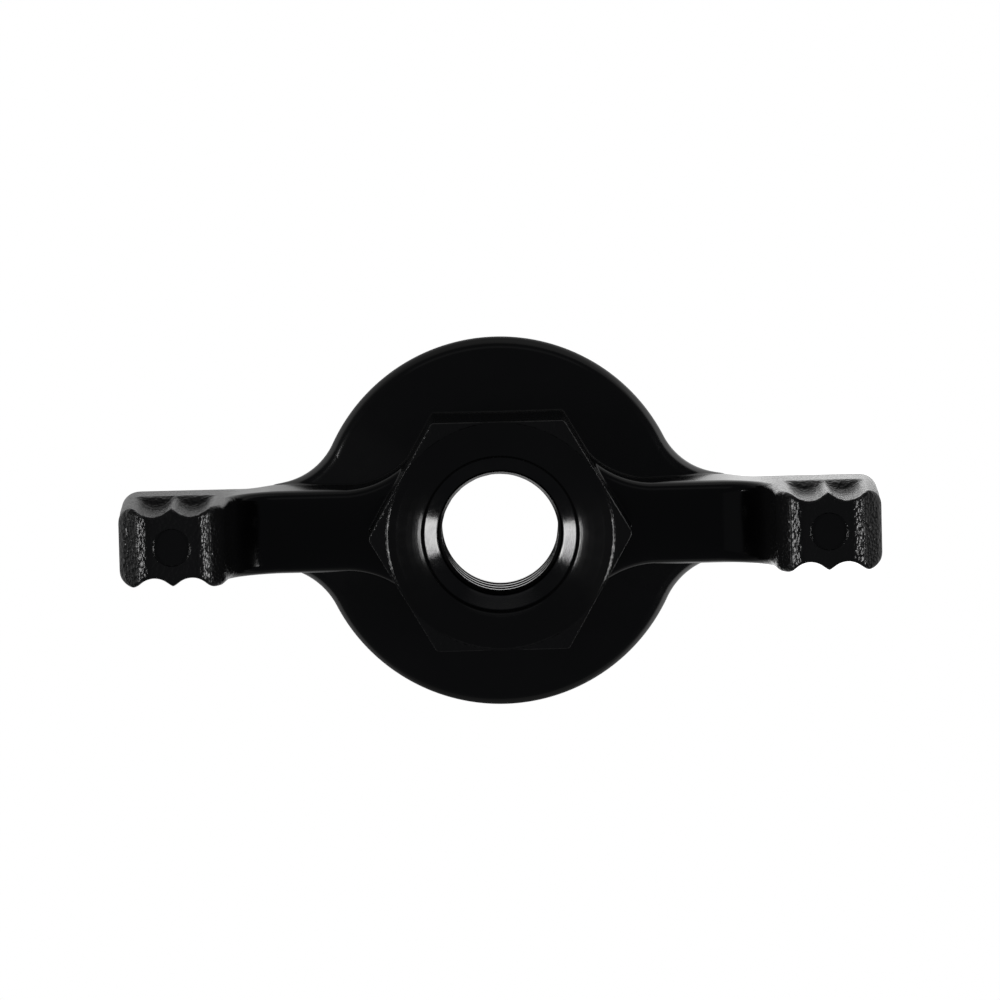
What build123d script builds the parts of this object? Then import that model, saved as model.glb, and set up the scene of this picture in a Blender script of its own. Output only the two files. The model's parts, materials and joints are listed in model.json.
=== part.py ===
from build123d import *
import math
import os

# Plastic wing nut with a moulded-in metal bush, M8 coarse thread.
# Frame: the thread runs along Z, the bearing face lies on z = 0, the hexagon and the
# finger grips point to +Z, and the two wings reach along +X and -X. Millimetres.

# thread and bush
THREAD_MAJOR = 8.0
THREAD_PITCH = 1.25
THREAD_MINOR = THREAD_MAJOR - 1.0825 * THREAD_PITCH
BUSH_TOP = 8.6
BUSH_RADIUS = 5.2
KNURL_TEETH = 24
KNURL_DEPTH = 0.3
BUSH_GROOVE_RADIUS = 4.6
BUSH_GROOVE_FROM = 4.0
BUSH_GROOVE_TO = 5.2
COUNTERSINK_RADIUS = 4.3
COUNTERSINK_SLOPE = 0.625
THREAD_ENTRY_RADIUS = 3.52
THREAD_ENTRY_SLOPE = 2.7
RELIEF_RADIUS = 4.15
RELIEF_DEPTH = 1.8

# flange
FLANGE_RADIUS = 10.65
RIM_HEIGHT = 1.6
RIM_ROUND = 0.7
FLANGE_SLOPE = 0.34

# hexagon and the dish in its top
HEX_FLATS = 13.0
HEX_TOP = 10.0
HEX_CORNER_ROUND = 0.1
DISH_RADIUS = 6.45
DISH_LIP_RADIUS = 4.36

# wings; their length and thickness are those at the bearing face, and the draft thins them upwards
WING_SPAN = 43.56
WING_THICKNESS = 4.88
DRAFT_ANGLE = 0.83
WEB_TOP = 5.1
UNDERSIDE_START = 12.8
UNDERSIDE_END = 15.2
UNDERSIDE_HEIGHT = 1.8
TIP_ROUND = 1.2
TIP_CORNER_ROUND = 1.0
WING_EDGE_ROUND = 0.15
FLANGE_FILLET = 4.0
FLARE_RADIUS = 5.3
FLARE_START = 9.0

# finger grips at the wing ends
GRIP_TOP = 12.3
GRIP_START = 15.4
GRIP_LEAN = 0.25
GRIP_CHAMFER_ANGLE = 48
NECK_RADIUS = 2.8
CHANNEL_FROM = 16.86
CHANNEL_TO = 20.0
CHANNEL_DEPTH = 0.32
CHANNEL_BANK = 0.48
FLUTE_RADIUS = 1.2
FLUTE_DEPTH = 0.52
FLUTE_FROM = 6.1
FLUTE_FIRST = 17.45
FLUTE_PITCH = 2.15
EJECTOR_AT = 18.55
EJECTOR_RADIUS = 1.05
EJECTOR_DEPTH = 0.12

WING_END = WING_SPAN / 2
GRIP_END = WING_END - GRIP_TOP * math.tan(math.radians(DRAFT_ANGLE))
SIDES = (1, -1)


def half_width(z):
    """Half the thickness of a wing at this height; the draft makes it thinner towards the grips."""
    return WING_THICKNESS / 2 - z * math.tan(math.radians(DRAFT_ANGLE))


def revolved(outline):
    """Turn an outline of (radius, height) points once around the thread axis."""
    face = Plane.XZ * make_face(Polyline(*outline, close=True))
    return revolve(face, Axis.Z)


def flange():
    """Round washer flange: flat bearing face, upright rim, upper side that slopes up to the hexagon."""
    flange_top = RIM_HEIGHT + FLANGE_SLOPE * (FLANGE_RADIUS - HEX_FLATS / 2)
    solid = revolved(
        (
            (0, 0),
            (FLANGE_RADIUS, 0),
            (FLANGE_RADIUS, RIM_HEIGHT),
            (HEX_FLATS / 2, flange_top),
            (0, flange_top),
        )
    )
    rim = solid.edges().filter_by(GeomType.CIRCLE).group_by(SortBy.RADIUS)[-1].sort_by(Axis.Z)[-1]
    return fillet(rim, RIM_ROUND)


def hexagon(top):
    """Hexagonal boss with its corners on the X axis, so that two flats face +Y and -Y."""
    outline = RegularPolygon(HEX_FLATS / 2, 6, major_radius=False, rotation=0)
    outline = fillet(outline.vertices(), HEX_CORNER_ROUND)
    return extrude(outline, top)


def wing_profile():
    """Side view of one wing: web, concave neck, chamfered grip with its channel, rising underside.
    Inside the sketch the height is Y."""
    neck_start = GRIP_START - NECK_RADIUS
    inner_crest = CHANNEL_FROM - CHANNEL_BANK
    outer_crest = CHANNEL_TO + CHANNEL_BANK
    chamfer_slope = math.tan(math.radians(GRIP_CHAMFER_ANGLE))
    inner_drop = chamfer_slope * (inner_crest - GRIP_START - GRIP_LEAN)
    outer_drop = chamfer_slope * (GRIP_END - outer_crest)
    with BuildSketch(Plane.XZ) as side:
        with BuildLine():
            Polyline((0, 0), (0, WEB_TOP), (neck_start, WEB_TOP))
            CenterArc((neck_start, WEB_TOP + NECK_RADIUS), NECK_RADIUS, 270, 90)
            Polyline(
                (GRIP_START, WEB_TOP + NECK_RADIUS),
                (GRIP_START + GRIP_LEAN, GRIP_TOP - inner_drop),
                (inner_crest, GRIP_TOP),
                (CHANNEL_FROM, GRIP_TOP - CHANNEL_DEPTH),
                (CHANNEL_TO, GRIP_TOP - CHANNEL_DEPTH),
                (outer_crest, GRIP_TOP),
                (GRIP_END, GRIP_TOP - outer_drop),
                (WING_END, UNDERSIDE_HEIGHT),
                (UNDERSIDE_END, UNDERSIDE_HEIGHT),
                (UNDERSIDE_START, 0),
                (0, 0),
            )
        make_face()
        tip = side.vertices().sort_by_distance((WING_END, UNDERSIDE_HEIGHT))[0]
        fillet(tip, TIP_ROUND)
    return side.sketch


def drafted_bar():
    """Upright bar with rounded corners whose sides and ends lean inwards by the moulding draft."""
    outline = RectangleRounded(WING_SPAN, WING_THICKNESS, TIP_CORNER_ROUND)
    return extrude(outline, GRIP_TOP + 1, taper=DRAFT_ANGLE)


def runs_along_profile(edge):
    """True for the edges between a wing's side and its top or underside, but not for its upright corners."""
    way = edge @ 1 - edge @ 0
    at_side = abs(edge.center().Y) > half_width(0) - WING_EDGE_ROUND
    across = abs(way.Y) > TIP_CORNER_ROUND / 2
    upright_corner = abs(way.Z) > TIP_ROUND and abs(edge.center().X) > CHANNEL_TO
    return at_side and not across and not upright_corner


def wings():
    """Both wings with their long edges rounded, before the grips are fluted."""
    right = extrude(wing_profile(), WING_THICKNESS, both=True)
    left = mirror(right, Plane.YZ)
    solid = (right + left) & drafted_bar()
    return fillet(solid.edges().filter_by(runs_along_profile), WING_EDGE_ROUND)


def flange_webs():
    """Low gusset that runs from the rim into the wings with a large fillet in plan."""
    w = half_width(0)
    reach = FLANGE_RADIUS + FLANGE_FILLET
    centre_y = w + FLANGE_FILLET
    centre_x = math.sqrt(reach**2 - centre_y**2)
    touch_x = centre_x * FLANGE_RADIUS / reach
    touch_y = centre_y * FLANGE_RADIUS / reach
    lean = math.degrees(math.atan2(centre_y, centre_x))
    with BuildSketch() as plan:
        for y in SIDES:
            with BuildLine():
                Polyline((0, 0), (touch_x, y * touch_y))
                CenterArc((centre_x, y * centre_y), FLANGE_FILLET, y * (180 + lean), y * (90 - lean))
                Polyline((centre_x, y * w), (centre_x, 0), (0, 0))
            make_face()
        mirror(about=Plane.YZ)
    return extrude(plan.sketch, RIM_HEIGHT - RIM_ROUND)


def hex_flares():
    """Curved gussets in plan that widen the webs where they run into the slanting flats of the hexagon."""
    w = half_width(WEB_TOP)
    inner_x = HEX_FLATS / 2 - 1.2
    rise = FLARE_RADIUS - math.sqrt(FLARE_RADIUS**2 - (FLARE_START - inner_x) ** 2)
    turn = math.degrees(math.asin((FLARE_START - inner_x) / FLARE_RADIUS))
    with BuildSketch() as plan:
        for y in SIDES:
            with BuildLine():
                CenterArc((FLARE_START, y * (w + FLARE_RADIUS)), FLARE_RADIUS, -y * 90, -y * turn)
                Polyline((inner_x, y * (w + rise)), (inner_x, 0), (FLARE_START, 0), (FLARE_START, y * w))
            make_face()
        mirror(about=Plane.YZ)
    return extrude(plan.sketch, WEB_TOP)


def flutes():
    """Four upright grooves on each side of both grips; each one ends below on a ledge."""
    tools = Part()
    height = GRIP_TOP + 1 - FLUTE_FROM
    for side_x in SIDES:
        for side_y in SIDES:
            for n in range(2):
                x = side_x * (FLUTE_FIRST + n * FLUTE_PITCH)
                y = side_y * (half_width(GRIP_TOP) - FLUTE_DEPTH + FLUTE_RADIUS)
                tools += Pos(x, y, FLUTE_FROM + height / 2) * Cylinder(FLUTE_RADIUS, height)
    return tools


def ejector_marks():
    """Shallow round pin marks in the floor of each grip's channel."""
    floor = GRIP_TOP - CHANNEL_DEPTH
    mark = Cylinder(EJECTOR_RADIUS, 2 * EJECTOR_DEPTH)
    return Pos(EJECTOR_AT, 0, floor) * mark + Pos(-EJECTOR_AT, 0, floor) * mark


def dish():
    """Bowl in the top of the hexagon that leads down to the bush, and the plastic lip around the bush."""
    return revolved(
        (
            (0, HEX_TOP + 1),
            (DISH_RADIUS, HEX_TOP + 1),
            (DISH_RADIUS, HEX_TOP),
            (6.38, 9.91),
            (5.35, 9.49),
            (4.85, 9.24),
            (DISH_LIP_RADIUS, 8.95),
            (DISH_LIP_RADIUS, BUSH_TOP),
            (0, BUSH_TOP),
        )
    )


def knurled_band(bottom, top):
    """Part of the bush with straight teeth that lock it against turning in the plastic."""
    step = 360 / KNURL_TEETH
    points = []
    for n in range(KNURL_TEETH):
        for turn, radius in ((0, BUSH_RADIUS), (0.5, BUSH_RADIUS - KNURL_DEPTH)):
            angle = math.radians((n + turn) * step)
            points.append((radius * math.cos(angle), radius * math.sin(angle)))
    teeth = extrude(make_face(Polyline(*points, close=True)), top - bottom)
    return Pos(0, 0, bottom) * teeth


def bush_outside():
    """Outer shape of the bush: two knurled bands with a smooth groove between them."""
    groove = Pos(0, 0, BUSH_TOP / 2) * Cylinder(BUSH_GROOVE_RADIUS, BUSH_TOP)
    return groove + knurled_band(0, BUSH_GROOVE_FROM) + knurled_band(BUSH_GROOVE_TO, BUSH_TOP)


def bush_bore():
    """Hole in the bush: countersink and steep thread entry above, thread core, wide relief below."""
    core = THREAD_MINOR / 2
    entry_height = BUSH_TOP - COUNTERSINK_SLOPE * (COUNTERSINK_RADIUS - THREAD_ENTRY_RADIUS)
    return revolved(
        (
            (0, -1),
            (RELIEF_RADIUS, -1),
            (RELIEF_RADIUS, RELIEF_DEPTH),
            (core, RELIEF_DEPTH + RELIEF_RADIUS - core),
            (core, entry_height - THREAD_ENTRY_SLOPE * (THREAD_ENTRY_RADIUS - core)),
            (THREAD_ENTRY_RADIUS, entry_height),
            (COUNTERSINK_RADIUS, BUSH_TOP),
            (COUNTERSINK_RADIUS, BUSH_TOP + 1),
            (0, BUSH_TOP + 1),
        )
    )


def threaded_bush():
    return bush_outside() - bush_bore()


def wing_body():
    """The whole plastic moulding."""
    solid = flange() + hexagon(HEX_TOP) + wings() + flange_webs() + hex_flares()
    solid -= dish()
    solid -= flutes()
    solid -= ejector_marks()
    return solid - bush_outside()


os.makedirs("parts", exist_ok=True)
export_step(wing_body(), "parts/wing_body.step")
export_step(threaded_bush(), "parts/threaded_bush.step")
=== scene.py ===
import json
import math

import bmesh
import bpy
import numpy as np
from mathutils import Matrix, Vector


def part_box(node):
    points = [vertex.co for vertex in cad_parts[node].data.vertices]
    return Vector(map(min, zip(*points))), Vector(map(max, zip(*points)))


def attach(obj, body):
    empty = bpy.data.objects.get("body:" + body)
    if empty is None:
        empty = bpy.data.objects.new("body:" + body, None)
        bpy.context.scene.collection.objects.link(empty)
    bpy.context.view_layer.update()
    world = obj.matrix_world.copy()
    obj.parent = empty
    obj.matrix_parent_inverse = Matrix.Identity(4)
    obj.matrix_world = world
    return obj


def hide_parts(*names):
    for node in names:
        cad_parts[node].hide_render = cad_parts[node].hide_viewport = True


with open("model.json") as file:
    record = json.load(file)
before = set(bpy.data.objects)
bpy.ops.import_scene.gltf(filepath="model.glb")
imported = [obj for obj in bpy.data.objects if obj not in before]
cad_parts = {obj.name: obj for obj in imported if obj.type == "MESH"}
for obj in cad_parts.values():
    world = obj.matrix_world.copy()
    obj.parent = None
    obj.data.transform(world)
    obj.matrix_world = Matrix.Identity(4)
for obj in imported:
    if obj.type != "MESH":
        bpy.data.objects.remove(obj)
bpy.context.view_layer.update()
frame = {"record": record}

# Lengths are millimetres until a mesh is made. The thread runs along Z and the wings along X.
MM = 0.001

# ---- sizes read from the CAD frame
body_low, body_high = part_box("wing_body")
bush_low, bush_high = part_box("threaded_bush")
mounts = {m["name"]: m for m in frame["record"]["mounts"]}
GRIP_TOP = body_high.z / MM
FLANGE_RADIUS = body_high.y / MM
TIP_REACH = body_high.x / MM
BUSH_TOP = bush_high.z / MM
BUSH_RADIUS = bush_high.x / MM
THREAD_CORE = mounts["thread"]["dims"]["r_mm"]

# ---- body: flange, hexagon and dish
RIM_HEIGHT = 1.6
RIM_ROUND = 0.7
FLANGE_SLOPE = 0.34
HEX_FILLET = 0.08
HEX_HALF_FLATS = 6.5
HEX_TOP = 10.0
HEX_CORNER_ROUND = 0.12
HEX_TOP_ROUND = 0.1
BOTTOM_EDGE_ROUND = 0.3
DISH_LIP_RADIUS = 4.36
LIP_ROUND = 0.18
DISH_EDGE_ROUND = 0.08
DISH_REACH = 7.5
# radius and height of the points along the bowl of the dish, from the lip outwards
DISH_CURVE = (
    (4.1, 8.79),
    (4.36, 8.95),
    (4.7, 9.155),
    (4.85, 9.237),
    (5.0, 9.315),
    (5.35, 9.48),
    (5.85, 9.695),
    (5.95, 9.742),
    (6.38, 9.905),
    (6.46, 9.985),
    (7.4, 11.0),
)

# ---- body: wings and grips
DRAFT = math.tan(math.radians(0.83))
WING_HALF_THICKNESS = 2.44
WING_END = TIP_REACH + 0.03
WEB_TOP = 5.1
GRIP_START = 15.4
GRIP_LEAN = 0.068
NECK_RADIUS = 2.8
GRIP_SHOULDER_ROUND = 0.6
GRIP_END_ROUND = 0.25
GRIP_CHAMFER = math.radians(48)
EDGE_ROUND = 0.35
WEB_EDGE_ROUND = 0.85
TIP_ROUND = 1.2
TIP_CORNER_ROUND = 1.0
WING_FILLET = 0.1
UNDERSIDE_START = 12.8
UNDERSIDE_END = 15.2
UNDERSIDE_HEIGHT = 1.8
FLANGE_FILLET = 4.0
FLARE_RADIUS = 5.3
FLARE_START = 9.0
FLARE_INSET = 1.2
CHANNEL_MIDDLE = 18.43
CHANNEL_HALF_WIDTH = 1.57
CHANNEL_DEPTH = 0.32
CHANNEL_BANK_SLOPE = 0.66
CREST_FROM_MIDDLE = 2.05
CREST_ROUND = 0.05
CHANNEL_FLOOR_ROUND = 0.12
FLUTE_RADIUS = 1.2
FLUTE_DEPTH = 0.52
FLUTE_FROM = 6.1
FLUTE_LEDGE_SLOPE = 1.15
FLUTES_AT = (17.45, 19.6)
FLUTE_EDGE_ROUND = 0.25
EJECTOR_AT = 18.55
EJECTOR_RADIUS = 1.05
EJECTOR_DEPTH = 0.12
EJECTOR_EDGE_ROUND = 0.05

# ---- bush
THREAD_PITCH = 1.25
THREAD_ROOT = 4.0
THREAD_TOP = 7.6
THREAD_FADE = 0.3
COUNTERSINK_RADIUS = 4.3
COUNTERSINK_SLOPE = 0.625
THREAD_ENTRY_RADIUS = 3.52
THREAD_ENTRY_SLOPE = 2.7
ENTRY_BLEND = 0.1
RELIEF_RADIUS = 4.15
RELIEF_DEPTH = 1.8
KNURL_TEETH = 24
KNURL_DEPTH = 0.3
GROOVE_RADIUS = 4.6
GROOVE_FROM = 4.0
GROOVE_TO = 5.2
BUSH_CHAMFER = 0.12
JOINT_GAP = 0.03

# ---- mesh resolution
BUSH_SIDES = 192
ROWS_PER_PITCH = 24
GRID_STEP = 0.09
THINNED_SHARE = 0.7


def round_union(a, b, radius):
    """Union of two distances, with a fillet of this radius where the surfaces meet."""
    beyond = np.hypot(np.maximum(radius - a, 0), np.maximum(radius - b, 0))
    return np.maximum(radius, np.minimum(a, b)) - beyond


def round_cut(a, b, radius):
    """Intersection of two distances, with the edge between them rounded."""
    beyond = np.hypot(np.maximum(radius + a, 0), np.maximum(radius + b, 0))
    return np.minimum(-radius, np.maximum(a, b)) + beyond


def smooth_max(a, b, width):
    """Intersection that blends softly, for surfaces that meet at a shallow angle."""
    return np.maximum(a, b) + 0.25 * width * np.maximum(1 - np.abs(a - b) / width, 0) ** 2


def half_thickness(z):
    """Half the thickness of a wing at this height, thinner upwards because of the draft."""
    return WING_HALF_THICKNESS - DRAFT * z


def flange_fillet(x, y):
    """Plan of the large fillet between the flange's rim and a wing."""
    reach = FLANGE_RADIUS + FLANGE_FILLET
    centre_y = WING_HALF_THICKNESS + FLANGE_FILLET
    centre_x = math.sqrt(reach**2 - centre_y**2)
    outside_arc = FLANGE_FILLET - np.hypot(x - centre_x, y - centre_y)
    below_line = (y * centre_x - x * centre_y) / reach
    joined = np.minimum(below_line, np.hypot(x, y) - FLANGE_RADIUS)
    return np.maximum(np.maximum(outside_arc, x - centre_x), joined)


def flange(x, y, z):
    """Round flange with a shallow slope from the hexagon down to its upright rim."""
    plan = np.minimum(np.hypot(x, y) - FLANGE_RADIUS, flange_fillet(x, y))
    rise = FLANGE_SLOPE * (FLANGE_RADIUS - np.hypot(x, y))
    upper = (z - RIM_HEIGHT - rise) / math.hypot(1, FLANGE_SLOPE)
    return round_cut(plan, upper, RIM_ROUND)


def hexagon(x, y, z):
    """Hexagonal prism with two flats facing +Y and -Y; x and y are already folded to be positive."""
    slanting = x * math.cos(math.radians(30)) + y * math.sin(math.radians(30)) - HEX_HALF_FLATS
    sides = round_cut(slanting, y - HEX_HALF_FLATS, HEX_CORNER_ROUND)
    mirrored = x * math.cos(math.radians(30)) - y * math.sin(math.radians(30)) - HEX_HALF_FLATS
    sides = round_cut(sides, mirrored, HEX_CORNER_ROUND)
    return round_cut(sides, z - HEX_TOP, HEX_TOP_ROUND)


def underside(x, z):
    """Distance below the underside, which steps up from the bearing face to the wing."""
    share = np.clip((x - UNDERSIDE_START) / (UNDERSIDE_END - UNDERSIDE_START), 0, 1)
    height = UNDERSIDE_HEIGHT * share * share * (3 - 2 * share)
    slope = 6 * share * (1 - share) * UNDERSIDE_HEIGHT / (UNDERSIDE_END - UNDERSIDE_START)
    return (height - z) / np.sqrt(1 + slope**2)


def wing_top(x, z):
    """Side view of a wing from above: flat web, concave neck, grip with a channel across it."""
    inner_side = GRIP_START + GRIP_LEAN * (z - WEB_TOP - NECK_RADIUS) - x
    beyond_crest = np.abs(x - CHANNEL_MIDDLE) - CREST_FROM_MIDDLE
    chamfer = beyond_crest * math.sin(GRIP_CHAMFER) + (z - GRIP_TOP) * math.cos(GRIP_CHAMFER)
    grip = round_cut(inner_side, chamfer, GRIP_SHOULDER_ROUND)
    grip = round_cut(grip, x - WING_END, GRIP_END_ROUND)
    top = np.maximum(round_union(z - WEB_TOP, grip, NECK_RADIUS), z - GRIP_TOP)
    above_floor = z - GRIP_TOP + CHANNEL_DEPTH
    beside_floor = np.abs(x - CHANNEL_MIDDLE) - CHANNEL_HALF_WIDTH
    bank = (beside_floor * CHANNEL_BANK_SLOPE - above_floor) / math.hypot(1, CHANNEL_BANK_SLOPE)
    channel = round_cut(bank, -above_floor, CHANNEL_FLOOR_ROUND)
    return round_cut(top, -channel, CREST_ROUND)


def flare(x, y):
    """Plan of the curved gusset between a web and the slanting flat of the hexagon."""
    inner = HEX_HALF_FLATS - FLARE_INSET
    outside_arc = FLARE_RADIUS - np.hypot(x - FLARE_START, y - half_thickness(WEB_TOP) - FLARE_RADIUS)
    past_ends = np.abs(x - (FLARE_START + inner) / 2) - (FLARE_START - inner) / 2
    return np.maximum(outside_arc, past_ends)


def wing(x, y, z):
    """One wing with its gusset, drafted and with all its long edges rounded."""
    end = x - (WING_END - DRAFT * z)
    end = round_cut(end, underside(x, z), TIP_ROUND)
    plan = round_cut(y - half_thickness(z), end, TIP_CORNER_ROUND)
    plan = np.minimum(plan, flare(x, y))
    edge = np.interp(x, (UNDERSIDE_START, GRIP_START), (WEB_EDGE_ROUND, EDGE_ROUND))
    return round_cut(plan, wing_top(x, z), edge)


def flutes(x, y, z):
    """Upright grooves on both sides of a grip; each one runs out below over a slanting ledge."""
    centre_y = half_thickness(GRIP_TOP) - FLUTE_DEPTH + FLUTE_RADIUS
    grooves = np.minimum(*(np.hypot(x - at, y - centre_y) - FLUTE_RADIUS for at in FLUTES_AT))
    ledge_y = half_thickness(FLUTE_FROM) - FLUTE_DEPTH / 2
    ledge = (FLUTE_FROM - z + (ledge_y - y) * FLUTE_LEDGE_SLOPE) / math.hypot(1, FLUTE_LEDGE_SLOPE)
    return round_cut(grooves, ledge, FLUTE_EDGE_ROUND)


def dish(radius, z):
    """Distance above the bowl in the top of the hexagon."""
    radii, heights = zip(*DISH_CURVE)
    height = np.interp(radius, radii, heights)
    ahead = np.interp(radius + 0.1, radii, heights)
    slope = (ahead - height) / 0.1
    return np.minimum((z - height) / np.sqrt(1 + slope**2), DISH_REACH - radius)


def knurl(angle):
    """Radius of the bush's knurled outside in this direction."""
    return BUSH_RADIUS - KNURL_DEPTH / 2 * (1 - np.cos(KNURL_TEETH * angle))


def bush_pocket(x, y, z):
    """Room for the bush inside the plastic: two knurled bands and the smooth groove between them."""
    radius = np.hypot(x, y)
    groove = (GROOVE_TO - GROOVE_FROM) / 2 - np.abs(z - (GROOVE_TO + GROOVE_FROM) / 2)
    knurled = np.maximum(radius - knurl(np.arctan2(y, x)) - JOINT_GAP, groove)
    return np.maximum(np.minimum(knurled, radius - GROOVE_RADIUS), z - BUSH_TOP)


def body(x, y, z):
    """Signed distance to the plastic moulding: negative inside. It is the same on all four sides."""
    x, y = np.abs(x), np.abs(y)
    radius = np.hypot(x, y)
    solid = round_union(flange(x, y, z), hexagon(x, y, z), HEX_FILLET)
    solid = round_union(solid, wing(x, y, z), WING_FILLET)
    solid = round_cut(solid, underside(x, z), BOTTOM_EDGE_ROUND)
    solid = round_cut(solid, dish(radius, z), DISH_EDGE_ROUND)
    solid = round_cut(solid, -flutes(x, y, z), FLUTE_EDGE_ROUND)
    mark_floor = GRIP_TOP - CHANNEL_DEPTH - EJECTOR_DEPTH
    mark = np.maximum(np.hypot(x - EJECTOR_AT, y) - EJECTOR_RADIUS, mark_floor - z)
    solid = round_cut(solid, -mark, EJECTOR_EDGE_ROUND)
    solid = round_cut(solid, DISH_LIP_RADIUS - radius, LIP_ROUND)
    return np.maximum(solid, -bush_pocket(x, y, z))


def gradient(field, points, reach=0.02):
    """Direction in which the distance grows, at each point."""
    columns = []
    for axis in range(3):
        step = np.zeros(3)
        step[axis] = reach
        ahead = field(*(points + step).T)
        behind = field(*(points - step).T)
        columns.append((ahead - behind) / (2 * reach))
    return np.stack(columns, axis=1)


def crossed_cells(field, reach, step):
    """Dual mesh of the surface where the field is zero: a point in each grid cell that the surface
    crosses, and a quad around each grid edge that it crosses. The field is mirrored in x and y."""
    half = [np.arange(step / 2, length + step, step) for length in reach[:2]]
    height = np.arange(-step, reach[2] + step, step)
    quarter = field(half[0][:, None, None], half[1][None, :, None], height[None, None, :]) < 0
    inside = np.concatenate([quarter[::-1], quarter])
    inside = np.concatenate([inside[:, ::-1], inside], axis=1)
    count = np.zeros([n - 1 for n in inside.shape], np.int8)
    for i in (0, 1):
        for j in (0, 1):
            for k in (0, 1):
                count += inside[i : i + count.shape[0], j : j + count.shape[1], k : k + count.shape[2]]
    crossed = (count > 0) & (count < 8)
    number = np.cumsum(crossed).reshape(crossed.shape) - 1
    corner = np.array([-half[0][-1], -half[1][-1], height[0]])
    points = (np.argwhere(crossed) + 0.5) * step + corner
    quads = []
    for axis in range(3):
        turned = np.moveaxis(inside, axis, 0)
        cells = np.moveaxis(number, axis, 0)
        change = turned[1:, 1:-1, 1:-1] != turned[:-1, 1:-1, 1:-1]
        i, j, k = np.nonzero(change)
        around = ((0, 0), (1, 0), (1, 1), (0, 1))
        ring = np.stack([cells[i, j + up, k + across] for up, across in around], axis=1)
        leaving = turned[i, j + 1, k + 1]
        if axis == 1:
            leaving = ~leaving
        ring[~leaving] = ring[~leaving][:, ::-1]
        quads.append(ring)
    return points, np.concatenate(quads)


def settle(field, points, quads, rounds):
    """Spreads the points evenly and moves them onto the surface."""
    first = quads.ravel()
    second = np.roll(quads, 1, axis=1).ravel()
    total = np.bincount(first, minlength=len(points)) + np.bincount(second, minlength=len(points))
    for turn in range(rounds + 2):
        if turn < rounds:
            for axis in range(3):
                away = np.bincount(first, points[second, axis], len(points))
                away += np.bincount(second, points[first, axis], len(points))
                points[:, axis] = 0.5 * points[:, axis] + 0.5 * away / total
        slope = gradient(field, points)
        distance = field(*points.T)
        steepness = np.maximum((slope**2).sum(axis=1), 0.25)
        points -= np.clip(distance / steepness, -0.1, 0.1)[:, None] * slope
    return points


def mesh_object(name, points, faces):
    """New object from points in millimetres."""
    mesh = bpy.data.meshes.new(name)
    mesh.from_pydata((np.asarray(points) * MM).tolist(), [], np.asarray(faces).tolist())
    mesh.validate()
    obj = bpy.data.objects.new(name, mesh)
    bpy.context.scene.collection.objects.link(obj)
    return obj


def thin_out(obj, share):
    """Collapses this share of the triangles, mostly where the surface is flat."""
    thinner = obj.modifiers.new("thin_out", "DECIMATE")
    thinner.ratio = 1 - share
    seen = bpy.context.evaluated_depsgraph_get()
    mesh = bpy.data.meshes.new_from_object(obj.evaluated_get(seen))
    obj.modifiers.clear()
    obj.data = mesh


def build_body():
    """The plastic moulding as one closed mesh."""
    reach = (TIP_REACH + GRID_STEP, FLANGE_RADIUS + GRID_STEP, GRIP_TOP + GRID_STEP)
    points, quads = crossed_cells(body, reach, GRID_STEP)
    points = settle(body, points, quads, 5)
    obj = mesh_object("wing_body_skin", points, quads)
    thin_out(obj, THINNED_SHARE)
    corners = np.empty(len(obj.data.vertices) * 3)
    obj.data.vertices.foreach_get("co", corners)
    corners = corners.reshape(-1, 3) / MM
    obj.data.shade_smooth()
    obj.data.normals_split_custom_set_from_vertices(gradient(body, corners).tolist())
    return obj


def thread_radius(phase):
    """Radius of the internal thread; phase counts pitches along the axis, with the crest at 0."""
    depth = THREAD_ROOT - THREAD_CORE
    flank = depth * math.tan(math.radians(30)) / THREAD_PITCH
    away = np.abs((phase + 0.5) % 1.0 - 0.5)
    return THREAD_CORE + depth * np.clip((away - 0.125) / flank, 0, 1)


def bore_radius(phase, z):
    """Inside of the bush: the thread, cut by the countersink above and the relief below."""
    countersink = COUNTERSINK_RADIUS - (BUSH_TOP - z) / COUNTERSINK_SLOPE
    entry_height = BUSH_TOP - COUNTERSINK_SLOPE * (COUNTERSINK_RADIUS - THREAD_ENTRY_RADIUS)
    entry = THREAD_ENTRY_RADIUS - (entry_height - z) / THREAD_ENTRY_SLOPE
    countersink = smooth_max(countersink, entry, ENTRY_BLEND)
    relief = RELIEF_RADIUS - np.maximum(z - RELIEF_DEPTH, 0)
    cut = thread_radius(phase) - THREAD_CORE
    thread = THREAD_CORE + cut * np.clip((THREAD_TOP - z) / THREAD_FADE, 0, 1)
    return np.maximum(thread, np.maximum(countersink, relief))


def bush_outside():
    """Rings of (height, radius for each angle) up the outside of the bush."""
    angles = np.arange(BUSH_SIDES) * 2 * math.pi / BUSH_SIDES
    knurled = knurl(angles)
    groove = np.full(BUSH_SIDES, GROOVE_RADIUS)
    return (
        (0, knurled - BUSH_CHAMFER),
        (BUSH_CHAMFER, knurled),
        (GROOVE_FROM, knurled),
        (GROOVE_FROM, groove),
        (GROOVE_TO, groove),
        (GROOVE_TO, knurled),
        (BUSH_TOP - BUSH_CHAMFER, knurled),
        (BUSH_TOP, knurled - BUSH_CHAMFER),
    )


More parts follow.
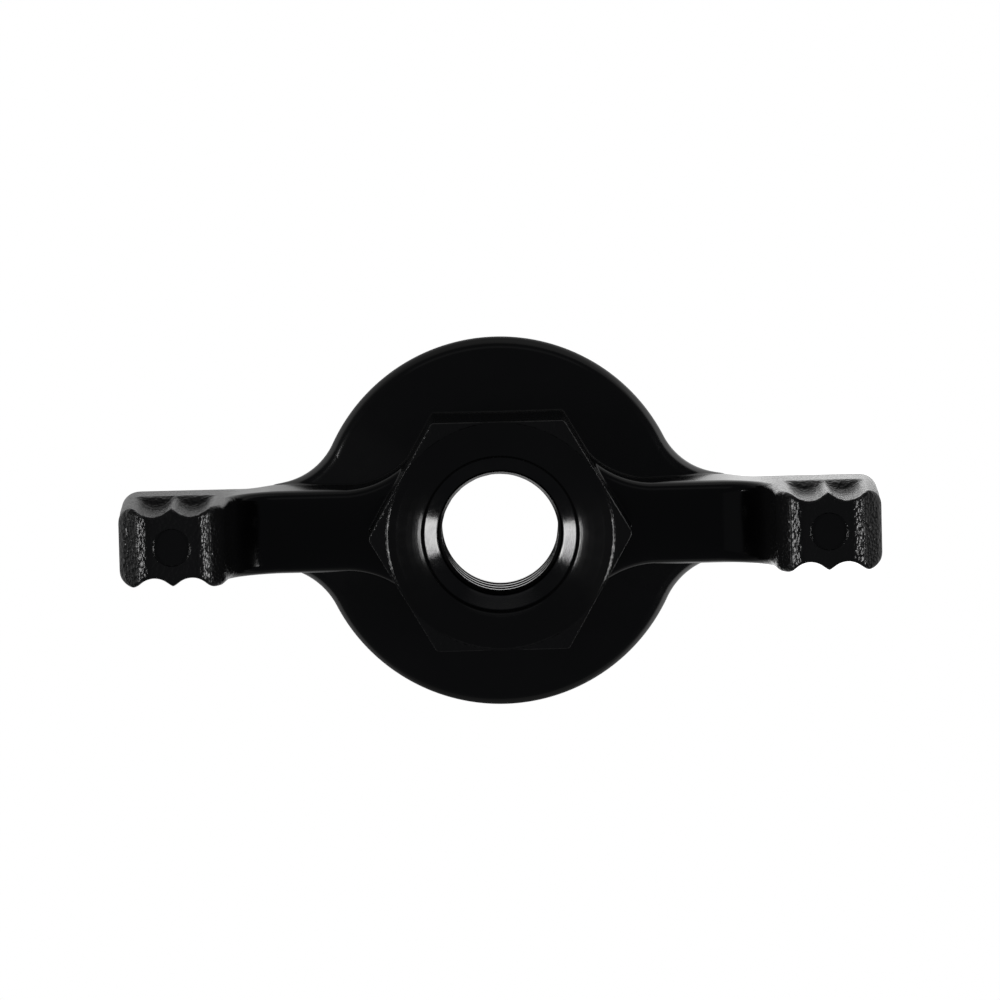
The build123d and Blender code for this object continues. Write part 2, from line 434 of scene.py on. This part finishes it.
def build_bush():
    """The metal bush. The rows of its bore climb with the helix, so that the thread's edges are clean."""
    angle, row = np.meshgrid(
        np.arange(BUSH_SIDES),
        np.arange(-ROWS_PER_PITCH, int(BUSH_TOP / THREAD_PITCH + 2) * ROWS_PER_PITCH + 1),
    )
    phase = row / ROWS_PER_PITCH
    z = np.clip((phase + angle / BUSH_SIDES) * THREAD_PITCH, 0, BUSH_TOP)
    turn = 2 * math.pi * angle / BUSH_SIDES
    radius = bore_radius(phase, z)
    points = np.stack([radius * np.cos(turn), radius * np.sin(turn), z], axis=2).reshape(-1, 3)
    number = np.arange(angle.size).reshape(angle.shape)
    climbed = number[ROWS_PER_PITCH:, :1]
    ahead = np.concatenate([number[: len(climbed), 1:], climbed], axis=1)
    here = number[: len(climbed)]
    faces = np.stack([here[:-1], ahead[:-1], ahead[1:], here[1:]], axis=2).reshape(-1, 4)
    faces = [tuple(f) for f in faces.tolist()]
    turn = np.arange(BUSH_SIDES) * 2 * math.pi / BUSH_SIDES
    lowest = (0, np.full(BUSH_SIDES, RELIEF_RADIUS))
    highest = (BUSH_TOP, np.full(BUSH_SIDES, COUNTERSINK_RADIUS))
    rings = [lowest, *bush_outside(), highest]
    start = len(points)
    for height, ring in rings:
        more = np.stack([ring * np.cos(turn), ring * np.sin(turn), np.full(BUSH_SIDES, height)], axis=1)
        points = np.concatenate([points, more])
    for n in range(len(rings) - 1):
        low, high = start + n * BUSH_SIDES, start + (n + 1) * BUSH_SIDES
        for i in range(BUSH_SIDES):
            j = (i + 1) % BUSH_SIDES
            faces.append((low + i, low + j, high + j, high + i))
    obj = mesh_object("threaded_bush_skin", points, faces)
    work = bmesh.new()
    work.from_mesh(obj.data)
    bmesh.ops.remove_doubles(work, verts=work.verts, dist=1e-3 * MM)
    bmesh.ops.dissolve_degenerate(work, edges=work.edges, dist=1e-4 * MM)
    bmesh.ops.recalc_face_normals(work, faces=work.faces)
    work.to_mesh(obj.data)
    work.free()
    obj.data.shade_smooth()
    obj.data.set_sharp_from_angle(angle=math.radians(25))
    return obj


# ---- materials


def material(name):
    """New node material; returns it with its node tree and its shader."""
    made = bpy.data.materials.new(name)
    made.use_nodes = True
    return made, made.node_tree, made.node_tree.nodes["Principled BSDF"]


def noise(tree, scale_mm, detail=3.0, roughness=0.5):
    """Noise in object space whose features are about this many millimetres across."""
    place = tree.nodes.new("ShaderNodeTexCoord")
    node = tree.nodes.new("ShaderNodeTexNoise")
    node.inputs["Scale"].default_value = 1 / (scale_mm * MM)
    node.inputs["Detail"].default_value = detail
    node.inputs["Roughness"].default_value = roughness
    tree.links.new(place.outputs["Object"], node.inputs["Vector"])
    return node.outputs["Fac"]


def craters(tree, size_mm):
    """Shallow hollows side by side in object space, as spark erosion leaves them in a mould."""
    place = tree.nodes.new("ShaderNodeTexCoord")
    node = tree.nodes.new("ShaderNodeTexVoronoi")
    node.inputs["Scale"].default_value = 1 / (size_mm * MM)
    tree.links.new(place.outputs["Object"], node.inputs["Vector"])
    return math_node(tree, "MULTIPLY", node.outputs["Distance"], node.outputs["Distance"])


def remap(tree, value, low, high, to_low, to_high, smooth=False):
    """Value mapped from the range low..high to the range to_low..to_high, and held beyond its ends."""
    node = tree.nodes.new("ShaderNodeMapRange")
    if smooth:
        node.interpolation_type = "SMOOTHSTEP"
    for socket, number in (("From Min", low), ("From Max", high), ("To Min", to_low), ("To Max", to_high)):
        node.inputs[socket].default_value = number
    tree.links.new(value, node.inputs["Value"])
    return node.outputs["Result"]


def math_node(tree, operation, a, b=None):
    """One step of arithmetic on numbers or node outputs."""
    node = tree.nodes.new("ShaderNodeMath")
    node.operation = operation
    for socket, value in zip(node.inputs, (a, b)):
        if isinstance(value, (int, float)):
            socket.default_value = value
        elif value is not None:
            tree.links.new(value, socket)
    return node.outputs["Value"]


def mix_colour(tree, factor, a, b):
    """Mix of two fixed colours."""
    node = tree.nodes.new("ShaderNodeMix")
    node.data_type = "RGBA"
    tree.links.new(factor, node.inputs["Factor"])
    node.inputs["A"].default_value = (*a, 1)
    node.inputs["B"].default_value = (*b, 1)
    return node.outputs["Result"]


def blend(tree, factor, a, b):
    """Mix of two colours that are themselves node outputs."""
    node = tree.nodes.new("ShaderNodeMix")
    node.data_type = "RGBA"
    tree.links.new(factor, node.inputs["Factor"])
    tree.links.new(a, node.inputs["A"])
    tree.links.new(b, node.inputs["B"])
    return node.outputs["Result"]


def bump(tree, height, depth_mm, strength, below=None):
    """Normal tilted by a height texture, on top of another bump if one is given."""
    node = tree.nodes.new("ShaderNodeBump")
    node.inputs["Strength"].default_value = strength
    node.inputs["Distance"].default_value = depth_mm * MM
    tree.links.new(height, node.inputs["Height"])
    if below is not None:
        tree.links.new(below, node.inputs["Normal"])
    return node.outputs["Normal"]


def object_axes(tree):
    """Node with the X, Y and Z of the shaded point in the object's own frame."""
    place = tree.nodes.new("ShaderNodeTexCoord")
    split = tree.nodes.new("ShaderNodeSeparateXYZ")
    tree.links.new(place.outputs["Object"], split.inputs["Vector"])
    return split


def distance_from(tree, x, y, middle=0.0):
    """Distance of the shaded point from the axis, or from an upright line at this x on either wing."""
    reach = math_node(tree, "SUBTRACT", math_node(tree, "ABSOLUTE", x), middle * MM)
    x_square = math_node(tree, "MULTIPLY", reach, reach)
    y_square = math_node(tree, "MULTIPLY", y, y)
    return math_node(tree, "SQRT", math_node(tree, "ADD", x_square, y_square))


def grained_share(tree):
    """1 on the grained finger grips and on the lands at the hexagon's corners, 0 elsewhere."""
    split = object_axes(tree)
    x, y, z = (split.outputs[name] for name in "XYZ")
    reach = math_node(tree, "ABSOLUTE", x)
    grip = remap(tree, reach, (GRIP_START - 1.0) * MM, (GRIP_START + 0.6) * MM, 0, 1, smooth=True)
    pin = distance_from(tree, x, y, EJECTOR_AT)
    around_pin = remap(tree, pin, (EJECTOR_RADIUS - 0.05) * MM, EJECTOR_RADIUS * MM, 0.25, 1)
    around_pin = math_node(tree, "MAXIMUM", around_pin, math_node(tree, "LESS_THAN", z, HEX_TOP * MM))
    grip = math_node(tree, "MULTIPLY", grip, around_pin)
    land = remap(tree, distance_from(tree, x, y), 6.44 * MM, 6.5 * MM, 0, 0.6)
    land = math_node(tree, "MULTIPLY", land, math_node(tree, "GREATER_THAN", z, (HEX_TOP - 0.15) * MM))
    land = math_node(tree, "MULTIPLY", land, math_node(tree, "LESS_THAN", reach, 8 * MM))
    return math_node(tree, "MAXIMUM", grip, land)


def body_plastic():
    """Black glass-filled nylon: satin and almost smooth, with a spark-eroded grain on the grips."""
    made, tree, shader = material("body_plastic")
    grip = grained_share(tree)
    mottle = noise(tree, 2.5, 4)
    height = object_axes(tree).outputs["Z"]
    # the top of each grip crest is painted lighter: partly rubbed wear, partly a painted highlight for the
    # light that the crests catch
    lit_crest_share = remap(tree, height, (GRIP_TOP - 0.14) * MM, (GRIP_TOP - 0.03) * MM, 0, 1, smooth=True)
    shader.inputs["IOR"].default_value = 1.52
    shader.inputs["Metallic"].default_value = 0.0
    colour = mix_colour(tree, mottle, (0.0040, 0.0040, 0.0042), (0.0065, 0.0065, 0.0068))
    grained = mix_colour(tree, mottle, (0.009, 0.009, 0.0093), (0.014, 0.014, 0.0145))
    # lighter colour on the crests: partly wear, partly painted highlight
    worn_and_highlit = mix_colour(tree, noise(tree, 0.3, 4), (0.020, 0.020, 0.021), (0.045, 0.045, 0.044))
    colour = blend(tree, grip, colour, grained)
    tree.links.new(blend(tree, lit_crest_share, colour, worn_and_highlit), shader.inputs["Base Color"])
    satin = remap(tree, noise(tree, 0.6, 5), 0.3, 0.7, 0.14, 0.18)
    coarse = remap(tree, noise(tree, 0.08, 2), 0.3, 0.7, 0.15, 0.24)
    rough = tree.nodes.new("ShaderNodeMix")
    tree.links.new(grip, rough.inputs["Factor"])
    tree.links.new(satin, rough.inputs["A"])
    tree.links.new(coarse, rough.inputs["B"])
    tree.links.new(rough.outputs["Result"], shader.inputs["Roughness"])
    fine = bump(tree, noise(tree, 0.05, 2), 0.002, 0.5)
    wavy = bump(tree, noise(tree, 1.5, 2), 0.006, 0.4, fine)
    eroded = math_node(tree, "ADD", craters(tree, 0.22), noise(tree, 0.3, 2))
    grain = math_node(tree, "MULTIPLY", eroded, grip)
    tree.links.new(bump(tree, grain, 0.038, 0.9, wavy), shader.inputs["Normal"])
    return made


def bush_metal():
    """Turned steel with a dark oxide finish and a fine, even bump texture."""
    made, tree, shader = material("bush_metal")
    shader.inputs["Metallic"].default_value = 1.0
    colour = mix_colour(tree, noise(tree, 0.8, 4), (0.06, 0.06, 0.063), (0.09, 0.089, 0.087))
    tree.links.new(colour, shader.inputs["Base Color"])
    rough = remap(tree, noise(tree, 0.25, 4), 0.3, 0.7, 0.10, 0.16)
    tree.links.new(rough, shader.inputs["Roughness"])
    tree.links.new(bump(tree, noise(tree, 0.06, 3), 0.004, 0.5), shader.inputs["Normal"])
    return made


# ---- stage, lights and camera


def white_floor():
    """White surface under the nut. The camera sees it pure white, but the light that the nut gets
    from it is uneven: weaker on the left, all round at a distance, and in the nut's own shade."""
    points = [(-900, -900, -0.01), (900, -900, -0.01), (900, 900, -0.01), (-900, 900, -0.01)]
    floor = mesh_object("floor", points, [(0, 1, 2, 3)])
    made, tree, shader = material("white_sheet")
    shader.inputs["Base Color"].default_value = (0, 0, 0, 1)
    shader.inputs["Specular IOR Level"].default_value = 0
    split = object_axes(tree)
    x, y = split.outputs["X"], split.outputs["Y"]
    centre = distance_from(tree, x, y)
    parts = (
        # brighter from left to right, and dimmed beyond each wing's tip
        remap(tree, x, -20 * MM, 22 * MM, 0.45, 1.4),
        remap(tree, x, 21 * MM, 24 * MM, 1, 0.28),
        remap(tree, x, -24 * MM, -21 * MM, 0.75, 1),
        # dimmed in front of the nut and behind it
        remap(tree, y, -12 * MM, -4 * MM, 0.12, 1),
        remap(tree, y, 3.5 * MM, 12 * MM, 1, 0.2),
    )
    # the shade that the flange throws
    light = remap(tree, centre, 9 * MM, 14 * MM, 0.03, 1)
    for part in parts:
        light = math_node(tree, "MULTIPLY", light, part)
    # light that comes up the bore and reaches the thread on the near side
    in_bore = math_node(tree, "LESS_THAN", centre, 4 * MM)
    near_wall = remap(tree, y, -2.6 * MM, -1.8 * MM, 1.0, 0.03)
    light = math_node(tree, "MAXIMUM", light, math_node(tree, "MULTIPLY", in_bore, near_wall))
    seen = tree.nodes.new("ShaderNodeLightPath")
    white = math_node(tree, "MAXIMUM", light, seen.outputs["Is Camera Ray"])
    shader.inputs["Emission Color"].default_value = (1, 1, 1, 1)
    tree.links.new(white, shader.inputs["Emission Strength"])
    floor.data.materials.append(made)


def surroundings():
    """Dim room that lights the nut a little; the camera itself sees it white."""
    world = bpy.data.worlds.new("studio")
    bpy.context.scene.world = world
    world.use_nodes = True
    tree = world.node_tree
    room = tree.nodes["Background"]
    room.inputs["Color"].default_value = (0.9, 0.93, 1.0, 1)
    room.inputs["Strength"].default_value = 0.055
    backdrop = tree.nodes.new("ShaderNodeBackground")
    backdrop.inputs["Color"].default_value = (1, 1, 1, 1)
    seen = tree.nodes.new("ShaderNodeLightPath")
    mix = tree.nodes.new("ShaderNodeMixShader")
    tree.links.new(seen.outputs["Is Camera Ray"], mix.inputs["Fac"])
    tree.links.new(room.outputs["Background"], mix.inputs[1])
    tree.links.new(backdrop.outputs["Background"], mix.inputs[2])
    tree.links.new(mix.outputs["Shader"], tree.nodes["World Output"].inputs["Surface"])


def softbox(name, azimuth, elevation, distance, width, height, radiance):
    """Rectangular light that faces the nut. Azimuth 0 is +X and 90 is +Y; lengths are millimetres."""
    a, e = math.radians(azimuth), math.radians(elevation)
    towards = Vector((math.cos(a) * math.cos(e), math.sin(a) * math.cos(e), math.sin(e)))
    light = bpy.data.lights.new(name, "AREA")
    light.shape = "RECTANGLE"
    light.size, light.size_y = width * MM, height * MM
    light.energy = radiance * math.pi * light.size * light.size_y
    obj = bpy.data.objects.new(name, light)
    obj.location = towards * distance * MM
    obj.rotation_mode = "QUATERNION"
    obj.rotation_quaternion = towards.to_track_quat("Z", "Y")
    bpy.context.scene.collection.objects.link(obj)


def camera():
    """Long lens almost straight above the nut, leaning towards +Y and rolled a little."""
    lean, roll, distance = math.radians(5.35), math.radians(1.43), 450.0
    aim = Vector((0.03, 1.13, 0))
    back = Vector((0, math.sin(lean), math.cos(lean)))
    up = Vector((0, math.cos(lean), -math.sin(lean)))
    right = Vector((1, 0, 0))
    rolled_right = right * math.cos(roll) - up * math.sin(roll)
    rolled_up = right * math.sin(roll) + up * math.cos(roll)
    data = bpy.data.cameras.new("camera")
    data.lens = 279.8
    data.sensor_width = 36.0
    data.clip_start, data.clip_end = 0.01, 10
    obj = bpy.data.objects.new("camera", data)
    turned = Matrix((rolled_right, rolled_up, back)).transposed().to_4x4()
    obj.matrix_world = Matrix.Translation((aim + back * distance) * MM) @ turned
    bpy.context.scene.collection.objects.link(obj)
    bpy.context.scene.camera = obj


def place(piece, node, slot, finish):
    """Gives a piece its material and puts it in the CAD node's stead."""
    piece.data.materials.append(finish)
    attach(piece, "root")
    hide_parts(node)


white_floor()
surroundings()
softbox("right_box", -5, 26, 400, 190, 64, 8.7)
softbox("left_box", 178, 25, 400, 205, 64, 10.0)
softbox("far_box", 90, 28, 500, 560, 120, 0.08)
softbox("left_ceiling", 180, 56, 500, 300, 390, 0.025)
camera()
place(build_body(), "wing_body", "body_plastic", body_plastic())
place(build_bush(), "threaded_bush", "bush_metal", bush_metal())
bpy.context.scene.view_settings.view_transform = "Standard"
